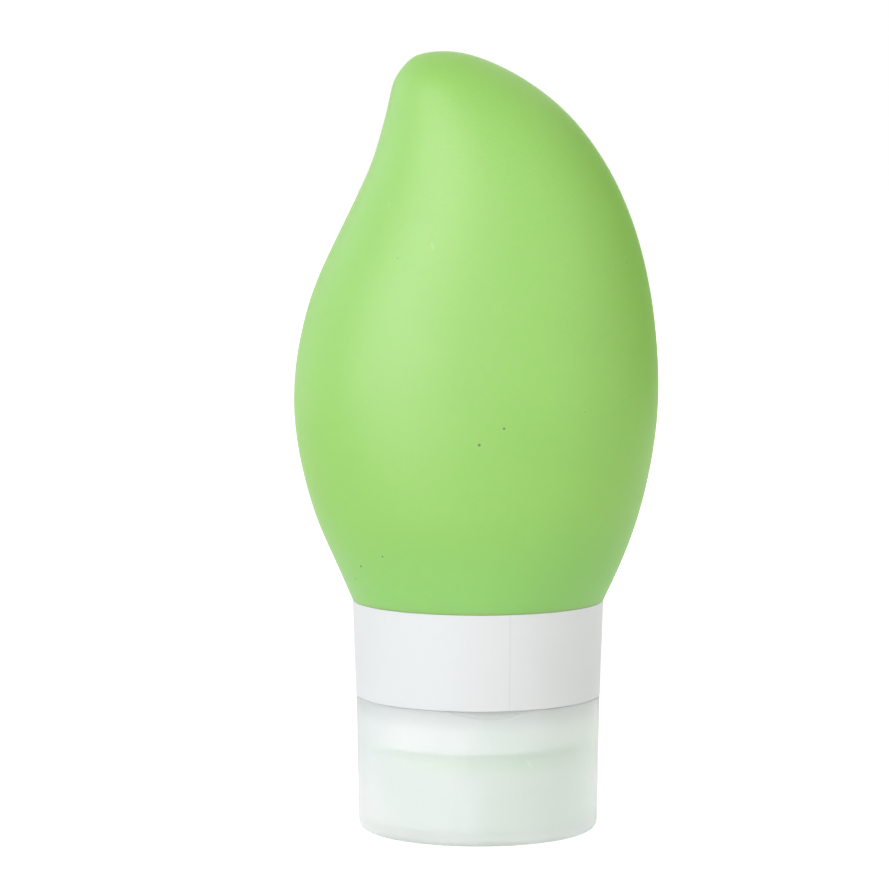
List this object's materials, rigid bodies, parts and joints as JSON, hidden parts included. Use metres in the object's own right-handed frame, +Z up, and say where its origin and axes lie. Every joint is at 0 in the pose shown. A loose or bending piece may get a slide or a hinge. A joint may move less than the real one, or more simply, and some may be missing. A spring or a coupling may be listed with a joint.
{
  "type": "silicone travel bottle",
  "caption": "Squeezable drop-shaped silicone travel bottle with a white screw collar, a no-drip valve and a clear flip lid that it stands on.",
  "frame": {"origin": "centre of the lid's flat face, which the bottle stands on", "axes": "+Z up the bottle towards its tip, +X to the side that the tip leans away from, -Y out of the front with the thumb notch"},
  "size_m": [0.0536, 0.0426, 0.1144],
  "materials": {
    "green_silicone": "matte, soft to the touch",
    "seal_silicone": "matte",
    "white_plastic": "satin",
    "clear_plastic": "milky and see-through",
    "pin_steel": "drawn wire"
  },
  "bodies": {
    "bottle": {"bottle_body": "green_silicone", "neck_insert": "white_plastic"},
    "gasket": {"neck_gasket": "seal_silicone"},
    "cap": {"collar": "white_plastic", "valve_carrier": "white_plastic", "no_drip_valve": "seal_silicone", "lid_seal": "seal_silicone", "hinge_pin": "pin_steel"},
    "lid": {"lid": "clear_plastic"}
  },
  "joints": [
    {"name": "cap_rise", "type": "slide", "parent": "bottle", "child": "gasket", "axis": [0, 0, -1], "range_m": [0, 0.012]},
    {"name": "cap_turn", "type": "hinge", "parent": "gasket", "child": "cap", "pos_m": [0, 0, 0.02], "axis": [0, 0, -1], "range_deg": [0, 1080]},
    {"name": "lid_hinge", "type": "hinge", "parent": "cap", "child": "lid", "pos_m": [-0.00181, 0.01881, 0.01975], "axis": [0.9954, 0.0958, 0], "range_deg": [0, 135]}
  ],
  "couplings": [
    {"joint": "cap_rise", "follows": "cap_turn", "m_per_rad": 0.0006366}
  ]
}
